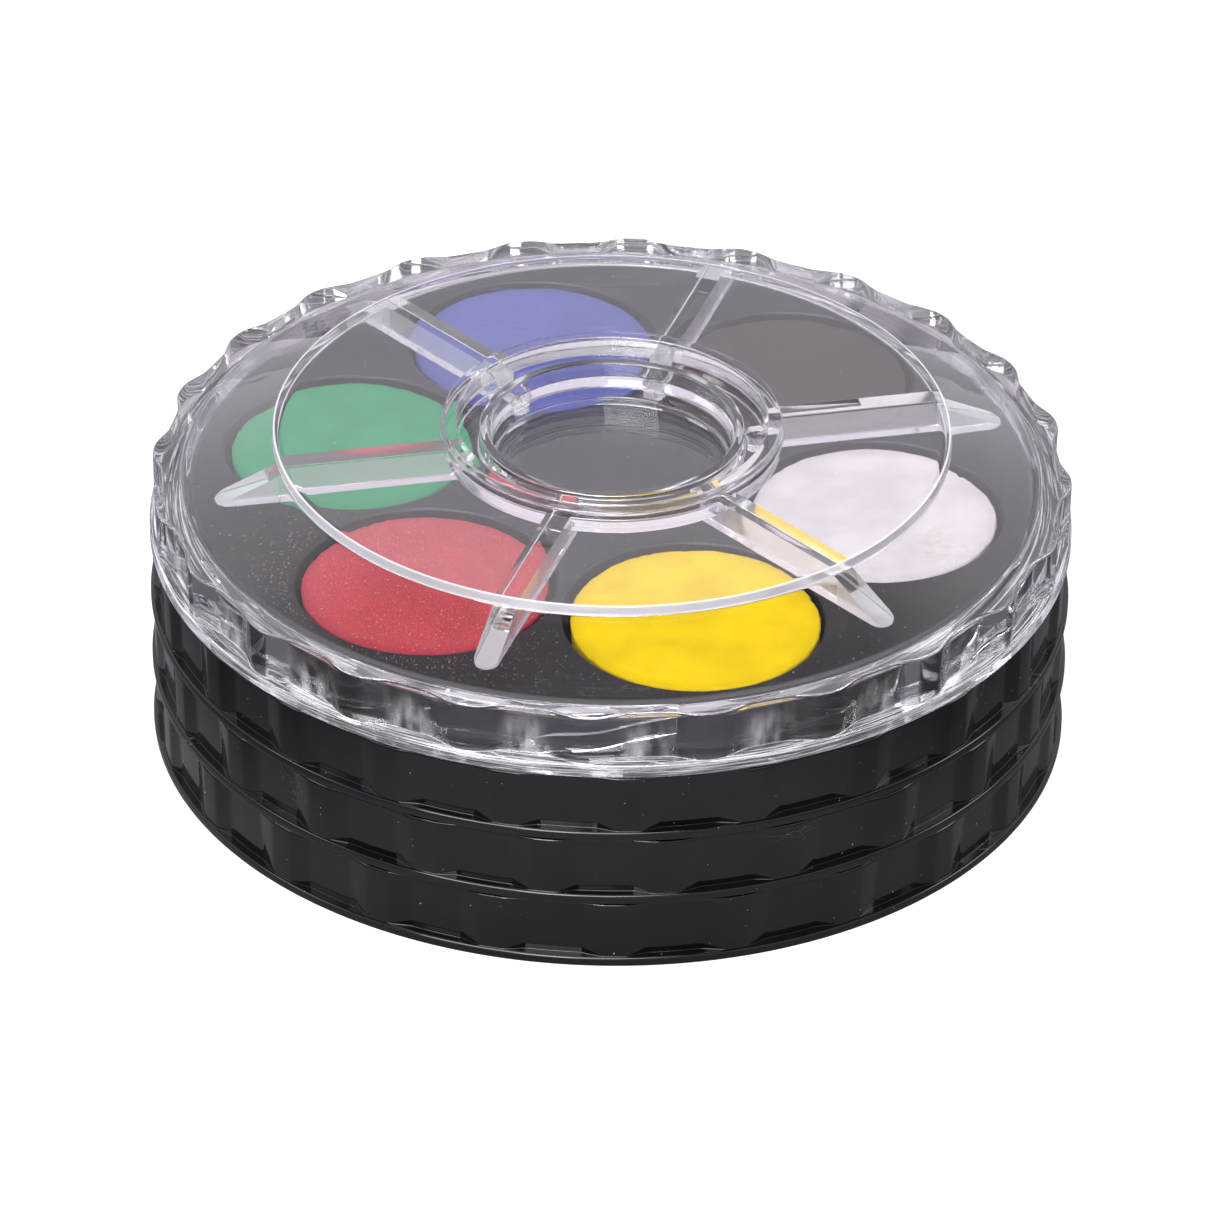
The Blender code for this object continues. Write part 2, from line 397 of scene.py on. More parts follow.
blackLook = {
    "dark": (0.0018, 0.0012, 0.0021),
    "light": (0.0036, 0.0024, 0.0041),
    "dust": (0.26, 0.24, 0.22),
    "wall": {"roughness": (0.06, 0.13), "specular": 0.45, "dustShare": 0.12, "grain": 0.05},
    "tray": {"roughness": (0.42, 0.60), "specular": 0.38, "dustShare": 0.45, "grain": 0.20},
}


def makeBlackPlastic(name, finish):
    look = blackLook
    material, tree, shader, output = newMaterial(name)
    place = objectPlace(tree)
    clouds = noiseOf(tree, place, 9.0, 4.0, 0.55)
    fine = noiseOf(tree, place, 0.35, 3.0, 0.6)
    color = mixColors(tree, stepBetween(tree, clouds, 0.35, 0.68), look["dark"], look["light"])
    specks = specksOf(tree, place, 1.3, 0.13, finish["dustShare"])
    smallSpecks = specksOf(tree, place, 0.6, 0.07, finish["dustShare"] * 0.8, 3.3)
    specks = treeMath(tree, "MAXIMUM", specks, smallSpecks)
    hairs = hairsOf(tree, 9.0, 1.1, 0.36, 0.5)
    marks = treeMath(tree, "MAXIMUM", specks, treeMath(tree, "MULTIPLY", hairs, 0.35))
    color = mixColors(tree, treeMath(tree, "MULTIPLY", marks, 0.8), color, look["dust"])
    tree.links.new(color, shader.inputs["Base Color"])
    wear = treeMath(tree, "ADD", treeMath(tree, "MULTIPLY", fine, 0.35),
                    treeMath(tree, "MULTIPLY", clouds, 0.65))
    rough = stepBetween(tree, wear, 0.3, 0.7, *finish["roughness"])
    rough = treeMath(tree, "ADD", rough, treeMath(tree, "MULTIPLY", marks, 0.3))
    tree.links.new(rough, shader.inputs["Roughness"])
    shader.inputs["Specular IOR Level"].default_value = finish["specular"]
    normal = bumpFrom(tree, fine, finish["grain"], 0.02)
    normal = bumpFrom(tree, marks, 0.3, 0.02, normal)
    tree.links.new(normal, shader.inputs["Normal"])
    return material


wallPlastic = makeBlackPlastic("blackWallPlastic", blackLook["wall"])
trayPlastic = makeBlackPlastic("blackTrayPlastic", blackLook["tray"])


# clear plastic of the lid

clearLook = {
    "color": (0.965, 0.955, 0.98),
    "hazeColor": (0.935, 0.92, 0.955),
    "frostColor": (0.36, 0.34, 0.38),
    "ior": 1.57,
    "roughness": (0.012, 0.05),
    "lampTint": (0.90, 0.895, 0.91),
    # the rib side and end shares whiten the plastic as painted reflection, the band share paints white
    # reflection patches, and the tool marks streak the flange
    "ribFrost": 0.13, "endFrost": 0.38, "toolMarks": 0.42, "scuffs": 0.55,
    "markLength": 9.0, "markWidth": 0.22,
}


def ringPlace(tree, around, across):
    # coordinates that run round the axis, for marks left by a turning tool
    place = tree.nodes.new("ShaderNodeTexCoord")
    parts = tree.nodes.new("ShaderNodeSeparateXYZ")
    tree.links.new(place.outputs["Object"], parts.inputs[0])
    angle = treeMath(tree, "ARCTAN2", parts.outputs[1], parts.outputs[0])
    squares = [treeMath(tree, "MULTIPLY", parts.outputs[i], parts.outputs[i]) for i in (0, 1)]
    radius = treeMath(tree, "SQRT", treeMath(tree, "ADD", *squares), 0)
    joined = tree.nodes.new("ShaderNodeCombineXYZ")
    tree.links.new(treeMath(tree, "MULTIPLY", angle, 55 * mm / around), joined.inputs[0])
    tree.links.new(treeMath(tree, "DIVIDE", radius, across), joined.inputs[1])
    tree.links.new(treeMath(tree, "DIVIDE", parts.outputs[2], across), joined.inputs[2])
    return joined.outputs[0]


def makeClearPlastic(name, frost=0.0, streaks=0.0, scuffs=0.0):
    # frost is the share of light that the surface scatters white, here a painted reflection of light piped
    # through the plastic; streaks is what tool marks add, and the patch share adds white painted reflection
    # low in the band's flutes where the mask attribute says so
    look = clearLook
    material, tree, shader, output = newMaterial(name)
    place = objectPlace(tree)
    waves = noiseOf(tree, place, 7.0, 2.0, 0.4)
    haze = noiseOf(tree, place, 3.0, 5.0, 0.6)
    hairs = hairsOf(tree, 12.0, 1.0, 0.34, 0.9)
    crossHairs = hairsOf(tree, 10.0, 1.3, 0.30, -0.6)
    scratches = treeMath(tree, "MAXIMUM", hairs, crossHairs)
    dust = specksOf(tree, place, 1.1, 0.09, 0.10)
    marks = treeMath(tree, "MAXIMUM", treeMath(tree, "MULTIPLY", scratches, 0.5), dust)
    color = mixColors(tree, stepBetween(tree, haze, 0.3, 0.75), look["color"], look["hazeColor"])
    # white mixed into the colour: painted reflection from the frost and patch shares, and the white of the
    # tool-mark streaks
    color = mixColors(tree, frost + (streaks + scuffs) / 2, color, look["frostColor"])
    tree.links.new(color, shader.inputs["Base Color"])
    rough = stepBetween(tree, haze, 0.35, 0.8, *look["roughness"])
    rough = treeMath(tree, "ADD", rough, treeMath(tree, "MULTIPLY", marks, 0.3))
    rough = treeMath(tree, "ADD", rough, frost * 0.5)
    tree.links.new(rough, shader.inputs["Roughness"])
    normal = bumpFrom(tree, waves, 0.25, 0.10)
    normal = bumpFrom(tree, marks, 0.25, 0.02, normal)
    tree.links.new(normal, shader.inputs["Normal"])
    shader.inputs["IOR"].default_value = look["ior"]
    if streaks:
        turned = ringPlace(tree, look["markLength"], look["markWidth"])
        lines = stepBetween(tree, noiseOf(tree, turned, 1.0, 4.0, 0.6), 0.48, 0.64, frost, frost + streaks)
        tree.links.new(treeMath(tree, "SUBTRACT", 1.0, lines), shader.inputs["Transmission Weight"])
    elif scuffs:
        # painted reflection: white patches low in the flutes, where the mask attribute is 1
        paintedReflectionNode = tree.nodes.new("ShaderNodeAttribute")
        paintedReflectionNode.attribute_name = "scuff"
        patches = noiseOf(tree, objectPlace(tree, (1, 1, 0.35)), 1.7, 2.0, 0.5)
        paintedWhite = treeMath(tree, "MULTIPLY", paintedReflectionNode.outputs["Fac"], stepBetween(tree, patches, 0.30, 0.78))
        paintedWhite = treeMath(tree, "MULTIPLY", paintedWhite, scuffs)
        tree.links.new(treeMath(tree, "SUBTRACT", 1.0 - frost, paintedWhite), shader.inputs["Transmission Weight"])
    else:
        shader.inputs["Transmission Weight"].default_value = 1.0 - frost
    # lamps shine through the lid, so the paints under it are lit
    path = tree.nodes.new("ShaderNodeLightPath")
    through = tree.nodes.new("ShaderNodeBsdfTransparent")
    through.inputs[0].default_value = (*look["lampTint"], 1.0)
    blend = tree.nodes.new("ShaderNodeMixShader")
    tree.links.new(path.outputs["Is Shadow Ray"], blend.inputs[0])
    tree.links.new(shader.outputs[0], blend.inputs[1])
    tree.links.new(through.outputs[0], blend.inputs[2])
    tree.links.new(blend.outputs[0], output.inputs["Surface"])
    return material


clearPlastic = makeClearPlastic("clearPlastic")
# rib sides, rib ends and the step are whitened as painted reflection of light piped through the plastic
ribSidePlastic = makeClearPlastic("ribSidePlastic", frost=clearLook["ribFrost"])
frostedPlastic = makeClearPlastic("frostedPlastic", frost=clearLook["endFrost"])
flangePlastic = makeClearPlastic("flangePlastic", streaks=clearLook["toolMarks"])
# the band gets white patches of painted reflection in its flutes
bandPlastic = makeClearPlastic("bandPlastic", scuffs=clearLook["scuffs"])


# pressed paint: chalky, grainy, darker at the rim, with painted shade on the sides

paintLooks = {
    "yellow": {"color": (0.94, 0.655, 0.002), "fleck": (0.98, 0.78, 0.010), "flecks": 0.05},
    "white": {"color": (0.80, 0.755, 0.775), "fleck": (0.60, 0.50, 0.44), "flecks": 0.05},
    "black": {"color": (0.034, 0.026, 0.030), "fleck": (0.12, 0.10, 0.10), "flecks": 0.14},
    "blue": {"color": (0.085, 0.105, 0.37), "fleck": (0.20, 0.24, 0.55), "flecks": 0.10},
    "green": {"color": (0.030, 0.30, 0.13), "fleck": (0.12, 0.45, 0.25), "flecks": 0.10},
    "red": {"color": (0.48, 0.022, 0.052), "fleck": (0.82, 0.40, 0.33), "flecks": 0.85},
    "orange": {"color": (0.85, 0.22, 0.01), "fleck": (0.92, 0.40, 0.10), "flecks": 0.08},
    "lemon": {"color": (0.85, 0.78, 0.08), "fleck": (0.92, 0.86, 0.30), "flecks": 0.08},
    "turquoise": {"color": (0.03, 0.40, 0.46), "fleck": (0.20, 0.55, 0.60), "flecks": 0.08},
    "violet": {"color": (0.19, 0.05, 0.36), "fleck": (0.34, 0.16, 0.50), "flecks": 0.10},
    "magenta": {"color": (0.58, 0.03, 0.24), "fleck": (0.75, 0.25, 0.42), "flecks": 0.10},
    "grass": {"color": (0.21, 0.48, 0.05), "fleck": (0.38, 0.60, 0.16), "flecks": 0.08},
    "ochre": {"color": (0.53, 0.28, 0.05), "fleck": (0.66, 0.42, 0.16), "flecks": 0.10},
    "umber": {"color": (0.15, 0.065, 0.028), "fleck": (0.28, 0.16, 0.10), "flecks": 0.12},
    "sienna": {"color": (0.37, 0.10, 0.03), "fleck": (0.52, 0.24, 0.12), "flecks": 0.10},
    "olive": {"color": (0.15, 0.19, 0.04), "fleck": (0.28, 0.32, 0.14), "flecks": 0.10},
    "navy": {"color": (0.025, 0.045, 0.21), "fleck": (0.12, 0.14, 0.34), "flecks": 0.10},
    "grey": {"color": (0.27, 0.27, 0.29), "fleck": (0.42, 0.42, 0.43), "flecks": 0.10},
}
stainLook = {"color": (0.44, 0.37, 0.33), "reach": 9.0, "share": 0.55}


def makePaint(name, stainCenter=None):
    look = paintLooks[name]
    material, tree, shader, output = newMaterial("paint_" + name)
    place = objectPlace(tree)
    clouds = noiseOf(tree, place, 6.0, 3.0, 0.5)
    grain = noiseOf(tree, place, 0.22, 4.0, 0.7)
    pits = specksOf(tree, place, 0.9, 0.10, 0.16, 1.7)
    flecks = specksOf(tree, place, 0.45, 0.10, look["flecks"])
    rim = tree.nodes.new("ShaderNodeAttribute")
    rim.attribute_name = "rim"
    base = look["color"]
    darker = tuple(0.84 * c for c in base)
    color = mixColors(tree, stepBetween(tree, clouds, 0.32, 0.70), base, darker)
    color = mixColors(tree, stepBetween(tree, grain, 0.30, 0.80, 0.0, 0.35), color, look["fleck"])
    color = mixColors(tree, treeMath(tree, "MULTIPLY", flecks, 0.90), color, look["fleck"])
    # darker at the rim of the top face, and on the sides, where it is painted shade of the pan wall
    edgeShade = treeMath(tree, "MULTIPLY", rim.outputs["Fac"],
                         stepBetween(tree, grain, 0.35, 0.65, 0.15, 0.75))
    color = mixColors(tree, edgeShade, color, tuple(0.60 * c for c in base))
    if stainCenter is not None:
        away = tree.nodes.new("ShaderNodeVectorMath")
        away.operation = "DISTANCE"
        away.inputs[1].default_value = stainCenter
        tree.links.new(place, away.inputs[0])
        ragged = treeMath(tree, "ADD", away.outputs["Value"], treeMath(tree, "MULTIPLY", clouds, 7 * mm))
        stain = stepBetween(tree, ragged, 3 * mm, stainLook["reach"] * mm, stainLook["share"], 0.0)
        blotches = stepBetween(tree, noiseOf(tree, place, 1.6, 5.0, 0.7), 0.38, 0.72)
        stain = treeMath(tree, "MULTIPLY", stain, blotches)
        color = mixColors(tree, stain, color, stainLook["color"])
    tree.links.new(color, shader.inputs["Base Color"])
    rough = stepBetween(tree, grain, 0.3, 0.7, 0.72, 0.95)
    tree.links.new(rough, shader.inputs["Roughness"])
    shader.inputs["Specular IOR Level"].default_value = 0.12
    normal = bumpFrom(tree, clouds, 0.25, 0.15)
    normal = bumpFrom(tree, grain, 0.35, 0.03, normal)
    normal = bumpFrom(tree, treeMath(tree, "SUBTRACT", flecks, pits), 0.4, 0.03, normal)
    tree.links.new(normal, shader.inputs["Normal"])
    return material


# turned shapes with a fluted band

# shares of one flute and depths are given at the band's foot and at its top
bandLook = {
    "disc": {"flutes": 24, "shelf": 1.2, "top": 8.8, "crestShare": (0.21, 0.19), "floorShare": (0.455, 0.42),
             "depth": (0.80, 0.50), "softness": 0.08},
    "lid": {"flutes": 24, "shelf": 1.7, "top": 8.2, "crestShare": (0.18, 0.20), "floorShare": (0.40, 0.38),
            "depth": (1.70, 1.35), "softness": 0.28},
}
# places across half a flute: crest, ramp and floor, each from 0 to 1
crestStops = (0.0, 0.45, 0.80)
rampStops = (0.0, 0.10, 0.24, 0.50, 0.76, 0.90)
floorStops = (0.0, 0.12, 0.50, 1.0)


def fluteProfile(band, rise):
    # (share of the pitch from the crest's middle, share of the depth) across half a flute
    crestEdge = mix(*band["crestShare"], rise) / 2
    floorEdge = 0.5 - mix(*band["floorShare"], rise) / 2
    places = [crestEdge * s for s in crestStops]
    places += [mix(crestEdge, floorEdge, s) for s in rampStops]
    places += [mix(floorEdge, 0.5, s) for s in floorStops]
    soft = band["softness"]
    half = []
    for u in places:
        x = (u - crestEdge) / (floorEdge - crestEdge)
        half.append((u, 0.5 * (math.hypot(x, soft) - math.hypot(x - 1, soft) + 1)))
    return half


def bandRing(band, radius, height, share):
    rise = clamp((height - band["shelf"]) / (band["top"] - band["shelf"]))
    half = fluteProfile(band, rise)
    depth = mix(*band["depth"], rise) * share
    whole = [(-u, d) for u, d in reversed(half[1:])] + half[:-1]
    ring = []
    for flute in range(band["flutes"]):
        for u, d in whole:
            angle = (flute + u) * fullTurn / band["flutes"]
            r = radius - depth * d
            ring.append((r * math.cos(angle), r * math.sin(angle), height))
    return ring


def roundProfile(corners, steps=4, support=0.12):
    # corners are (radius, height, flute share, rounding); each rounding becomes a short curve
    rows = [corners[0][:3]]
    for before, corner, after in zip(corners, corners[1:], corners[2:]):
        here = Vector(corner[:2])
        share, size = corner[2], corner[3]
        if size == 0:
            rows.append(corner[:3])
            continue
        toBefore = Vector(before[:2]) - here
        toAfter = Vector(after[:2]) - here
        start = here + toBefore.normalized() * size
        end = here + toAfter.normalized() * size
        if toBefore.length > 2 * size + 2 * support:
            rows.append((*(start + toBefore.normalized() * support), share))
        for i in range(steps + 1):
            t = i / steps
            point = start * (1 - t) ** 2 + here * (2 * t * (1 - t)) + end * t ** 2
            rows.append((*point, share))
        if toAfter.length > 2 * size + 2 * support:
            rows.append((*(end + toAfter.normalized() * support), share))
    rows.append(corners[-1][:3])
    return rows


def turnedBody(name, corners):
    rings = [bandRing(bandLook[name], *row) for row in roundProfile(corners)]
    return linkObject(name, stackRings(name, rings))


def turnedTool(name, corners, segments, steps=4):
    # a plain round shape about the axis; the caller moves it out along +X
    rings = []
    for radius, height, share in roundProfile(corners, steps, 0.05):
        ring = []
        for i in range(segments):
            angle = i * fullTurn / segments
            ring.append((radius * math.cos(angle), radius * math.sin(angle), height))
        rings.append(ring)
    return stackRings(name, rings)


# screw lugs

lugLook = {
    "arc": 18.0, "depth": 0.9, "root": 0.5, "steps": 14, "taper": 0.16, "corner": 0.34, "soft": 0.08,
    "collar": {"radius": 52.2, "foot": 9.6, "rise": 3.0, "first": 12.0, "thickness": 1.4},
    "skirt": {"radius": 53.6, "foot": 1.2, "rise": 3.6, "first": 32.0, "thickness": 1.4},
    "lid": {"radius": 53.6, "foot": 0.9, "rise": 3.3, "first": 17.5, "thickness": 2.5},
}


def lugMesh(kind, inward):
    # one helical ridge that rises anticlockwise, tapered at both ends
    look = lugLook
    place = look[kind]
    way = -1 if inward else 1
    rings = []
    for i in range(look["steps"] + 1):
        t = i / look["steps"]
        angle = math.radians(look["arc"]) * (t - 0.5)
        z = place["foot"] + place["rise"] * t
        taper = math.sin(math.pi * clamp(min(t, 1 - t) / look["taper"]) / 2)
        tip = place["radius"] + way * mix(0.15, look["depth"], taper)
        root = place["radius"] - way * look["root"]
        thick = place["thickness"]
        side = mix(root, tip, 0.85)
        corners = [(root, 0), (side, look["soft"]), (tip, look["corner"]), (tip, thick - look["corner"]),
                   (side, thick - look["soft"]), (root, thick)]
        rings.append([(r * math.cos(angle), r * math.sin(angle), z + h) for r, h in corners])
    return stackRings(kind + "Lug", rings)


# one pan disc, in its own frame: foot at zero and a pan on +X

discLook = {
    "panCircle": 33.2, "panRadius": 15.9, "panFloor": 9.2, "panLip": 0.45,
    "cupRadius": 17.0, "cupFoot": 8.0, "cupTop": 14.1, "trayTop": 14.8,
}
discCorners = [
    (50.2, 14.8, 0, 0), (50.7, 14.8, 0, 0), (52.2, 14.8, 0, 0.4), (52.2, 8.8, 0, 0.25), (57.2, 8.8, 1, 0.38),
    (57.1, 1.2, 1, 0.10), (57.48, 1.2, 0, 0.34), (57.48, 0.0, 0, 0.26), (53.6, 0.0, 0, 0.25),
    (53.6, 7.4, 0, 0.4), (50.8, 7.4, 0, 0.3), (50.8, 13.4, 0, 0.3), (50.0, 13.4, 0, 0),
]


def buildDiscMesh():
    look = discLook
    disc = turnedBody("disc", discCorners)
    out = Matrix.Translation((look["panCircle"] * mm, 0, 0))
    cupCorners = [(8.0, look["cupFoot"], 0, 0), (look["cupRadius"], look["cupFoot"], 0, 0.5),
                  (look["cupRadius"], look["cupTop"], 0, 0), (8.0, look["cupTop"], 0, 0)]
    tools = []
    for first in (0.0, 60.0):
        cup = turnedTool("cup", cupCorners, 96)
        cup.transform(out)
        tools.append(ringOf("cups", cup, 3, first, wallPlastic))
    lugs = [ringOf("lugs", lugMesh(kind, inward), 6, lugLook[kind]["first"], wallPlastic)
            for kind, inward in (("collar", False), ("skirt", True))]
    firstTool = joinMeshes("firstTool", [tools[0], *lugs])
    cut(disc, "UNION", firstTool)
    cut(disc, "UNION", tools[1])
    top, lip = look["trayTop"], look["panLip"]
    panCorners = [(6.0, look["panFloor"], 0, 0), (look["panRadius"], look["panFloor"], 0, 0.6),
                  (look["panRadius"], top - lip, 0, 0)]
    for i in range(1, 7):
        angle = math.pi / 2 * i / 6
        panCorners.append((look["panRadius"] + lip * (1 - math.cos(angle)),
                           top + 0.015 - lip * (1 - math.sin(angle)), 0, 0))
    panCorners += [(look["panRadius"] + lip, top + 2.0, 0, 0), (6.0, top + 2.0, 0, 0)]
    pan = turnedTool("pan", panCorners, 120)
    pan.transform(out)
    cut(disc, "DIFFERENCE", ringOf("pans", pan, 6, 0.0, wallPlastic))
    mesh = disc.data.copy()
    removeObject(disc)
    mesh.materials.clear()
    mesh.materials.append(wallPlastic)
    mesh.materials.append(trayPlastic)
    for face in mesh.polygons:
        center = face.center / mm
        inside = math.hypot(center.x, center.y) < 51.2 and center.z > look["panFloor"] - 0.1
        face.material_index = 1 if inside and face.normal.z > -0.3 else 0
    return mesh


discMesh = buildDiscMesh()
print("disc made:", len(discMesh.polygons), "faces")

for bodyName, discNode in discBodies.items():
    mesh = discMesh.copy()
    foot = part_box(discNode)[0].z
    mesh.transform(Matrix.Translation((0, 0, foot)) @ Matrix.Rotation(turnOf(bodyName), 4, "Z"))
    disc = linkObject("pan_" + discNode, mesh)
    finishPiece(disc, bodyName, [discNode])


# paint tablets

tabletLook = {
    "segments": 144, "edge": 0.45, "ragged": 0.16, "relief": 0.05, "footInset": 0.25, "sag": 0.10,
    "chipFrom": 0.34, "chipSize": 1.6, "raggedPitch": 26, "chipPitch": 34, "reliefPitch": 0.22,
    "stainShift": (7.5, -7.0, 0),
}
# shares of the radius at which the top face has a ring of points
topShares = (0.955, 0.93, 0.89, 0.84, 0.78, 0.70, 0.61, 0.51, 0.40, 0.28, 0.15, 0.04)
# how far a tablet lies off the middle of its pan, in millimetres
tabletShifts = {"yellow": (0.30, 0.05), "red": (-0.10, -0.15), "white": (0.10, -0.10)}


def buildTablet(node, body):
    name = node.replace("tablet_", "")
    low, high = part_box(node)
    middle = (low + high) / 2 / mm
    radius = (high.x - low.x) / 2 / mm
    bottom, top = low.z / mm, high.z / mm
    look = tabletLook
    shift = Vector((*tabletShifts.get(name, (0, 0)), 0))
    seed = Vector((middle.x, middle.y, bottom)) * 1.3
    foot = radius - look["footInset"]
    rows = [(6.0, bottom), (foot - 0.3, bottom), (foot, bottom + 0.3)]
    rows += [(mix(foot, radius, t), mix(bottom, top, t)) for t in (0.35, 0.65, 0.82)]
    edge = look["edge"]
    for i in range(6):
        angle = math.pi / 2 * i / 5
        rows.append((radius - edge * (1 - math.cos(angle)), top - edge * (1 - math.sin(angle))))
    rows += [(radius * share, top) for share in topShares]
    rings = []
    rimValues = []
    for r, z in rows:
        ring = []
        for i in range(look["segments"]):
            angle = i * fullTurn / look["segments"]
            way = Vector((math.cos(angle), math.sin(angle), 0))
            spot = way * r
            rough = noise.fractal(seed + way * look["raggedPitch"] + Vector((0, 0, z * 0.9)), 0.9, 2.1, 5)
            chip = noise.noise(seed * 2 + way * look["chipPitch"])
            chips = max(0.0, chip - look["chipFrom"]) * look["chipSize"]
            near = clamp((r - radius * 0.9) / (radius * 0.1))
            out = near * (look["ragged"] * rough * 0.5 - look["ragged"] * 0.5 - chips * 0.35)
            height = z
            if z > top - edge:
                waves = noise.fractal(seed + spot * look["reliefPitch"], 1.0, 2.0, 4)
                height += look["relief"] * waves
                height -= look["sag"] * clamp((r / radius - 0.75) / 0.25) ** 2
            if z > bottom + 0.4:
                height = min(height - chips * near * 0.2, top)
            point = middle + shift + way * (r + out)
            ring.append((point.x, point.y, height))
            # the sides get 0.8: painted shade where the tablet stands in its pan
            rimValues.append(near if z > top - 2.2 * edge else 0.8)
        rings.append(ring)
    mesh = stackRings(node, rings)
    attribute = mesh.attributes.new("rim", "FLOAT", "POINT")
    attribute.data.foreach_set("value", rimValues)
    stain = None
    if name == "white":
        stain = Vector((*(middle + shift + Vector(look["stainShift"])).xy, top)) * mm
    mesh.materials.append(makePaint(name, stain))
    tablet = linkObject("cake_" + name, mesh)
    finishPiece(tablet, body, [node], 50)


for bodyName in discBodies:
    for node in tabletsOf(bodyName):
        buildTablet(node, bodyName)
print("tablets made")


# lid, in its own frame: foot at zero

lidLook = {
    "turn": 12.5,
    "ribWidth": 3.0, "ribFoot": 8.0, "ribInner": 16.9, "ribOuter": 49.6, "ribEdge": 0.22,
    "ribStep": 42.0,
}
lidCorners = [
    (14.0, 9.2, 0, 0), (14.6, 9.2, 0, 0.35), (15.3, 13.9, 0, 0.25), (16.5, 13.9, 0, 0.25),
    (16.5, 11.4, 0, 0.25), (19.3, 11.4, 0, 0.25), (19.3, 15.3, 0, 0.22), (21.0, 15.3, 0, 0.22),
    (21.0, 14.2, 0, 0.25),
    (42.0, 14.2, 0, 0.15), (42.0, 12.9, 0, 0.25), (52.9, 8.2, 0, 0.3), (57.2, 8.2, 1, 0.35),
    (57.2, 1.7, 1, 0.15), (57.45, 1.7, 0, 0.22), (57.45, 0.0, 0, 0.22), (53.6, 0.0, 0, 0.22),
    (53.6, 6.9, 0, 0.4), (52.6, 6.9, 0, 0.3), (41.0, 12.2, 0, 0.5), (21.0, 12.2, 0, 0.3),
    (21.0, 10.1, 0, 0.25), (16.2, 10.1, 0, 0.25), (15.9, 8.0, 0, 0.35), (15.0, 8.0, 0, 0),
]
# height that a rib's top reaches inside the shell, by radius
ribTops = ((0.0, 10.75), (19.7, 10.75), (20.6, 13.2), (41.2, 13.2), (42.0, 12.3), (60.0, 4.36))


def ribTop(radius):
    for (r0, z0), (r1, z1) in zip(ribTops, ribTops[1:]):
        if radius <= r1:
            return mix(z0, z1, (radius - r0) / (r1 - r0))
    return ribTops[-1][1]


def ribMesh():
    # a straight bar along +X with round ends and softened lower edges
    look = lidLook
    half = look["ribWidth"] / 2
    first, last = look["ribInner"] + half, look["ribOuter"] - half
    straight = [first, 19.7, 20.6, 24.0, 30.0, 36.0, 41.2, 42.0, 44.0, 46.0, last]
    turns = [math.pi * i / 12 for i in range(1, 12)]

    def outline(inset):
        size = half - inset
        points = [(x, -size) for x in straight]
        points += [(last + size * math.sin(a), -size * math.cos(a)) for a in turns]
        points += [(x, size) for x in reversed(straight)]
        points += [(first - size * math.sin(a), size * math.cos(a)) for a in turns]
        return points

    edge = look["ribEdge"]
    rings = []
    for i in range(5):
        angle = math.pi / 2 * i / 4
        inset = edge * (1 - math.sin(angle))
        height = look["ribFoot"] + edge * (1 - math.cos(angle))
        rings.append([(x, y, height) for x, y in outline(inset)])
    rings.append([(x, y, look["ribFoot"] + edge + 0.12) for x, y in outline(0)])
    rings.append([(x, y, max(ribTop(x), look["ribFoot"] + edge + 0.2)) for x, y in outline(0)])
    return splitAcross(stackRings("rib", rings), look["ribStep"])


# where one finish of the lid ends and the next begins, in millimetres
finishPlaces = {
    "flangeTop": 1.75, "flangeInner": 53.4, "bandTop": 7.8, "bandInner": 54.5,
    "stepFoot": 12.9, "ribFrom": 17.0, "ribTo": 50.5, "ribTop": 12.3, "ribEnd": 41.6, "ribBottom": 8.5,
}
lidFinishes = (clearPlastic, ribSidePlastic, frostedPlastic, flangePlastic, bandPlastic)


def lidFinish(spot, normal):
    # a place in lidFinishes, from a face's middle and its way
    places = finishPlaces
    radius = math.hypot(spot.x, spot.y)
    if spot.z < places["flangeTop"] and radius > places["flangeInner"]:
        return 3
    if spot.z < places["bandTop"] and radius > places["bandInner"]:
        return 4
    # the step face gets the whitened finish: painted reflection of light piped through the plastic
    if abs(radius - lidLook["ribStep"]) < 0.4 and spot.z > places["stepFoot"]:
        return 2
    angle = math.atan2(spot.y, spot.x) % (fullTurn / 6)
    if angle > fullTurn / 12:
        angle -= fullTurn / 6
    across, along = abs(radius * math.sin(angle)), radius * math.cos(angle)
    half = lidLook["ribWidth"] / 2
    inRib = places["ribFrom"] < along < places["ribTo"] and spot.z <= places["ribTop"]
    if across > half + 0.05 or not inRib:
        return 0
    upright = abs(normal.z) < 0.8
    underneath = spot.z < places["ribBottom"] and normal.z < -0.97
    # rib ends get the whitened finish: painted reflection of light piped through the plastic
    if along > places["ribEnd"] and (underneath or upright):
        return 2
    # rib sides get the lightly whitened finish: painted reflection
    return 1 if across > half - 0.3 and upright else 0


def markPaintedReflections(mesh):
    # where the band gets painted reflection: 1 low in the middle of each flute, 0 on the crests and near the
    # top
    band = bandLook["lid"]
    values = []
    for vertex in mesh.vertices:
        spot = vertex.co / mm
        phase = math.atan2(spot.y, spot.x) * band["flutes"] / fullTurn
        away = abs(phase % 1.0 - 0.5)
        rise = (spot.z - band["shelf"]) / (band["top"] - band["shelf"])
        values.append(clamp(1.4 - away * 5.5) * clamp(1.5 - 1.9 * rise))
    attribute = mesh.attributes.new("scuff", "FLOAT", "POINT")
    attribute.data.foreach_set("value", values)


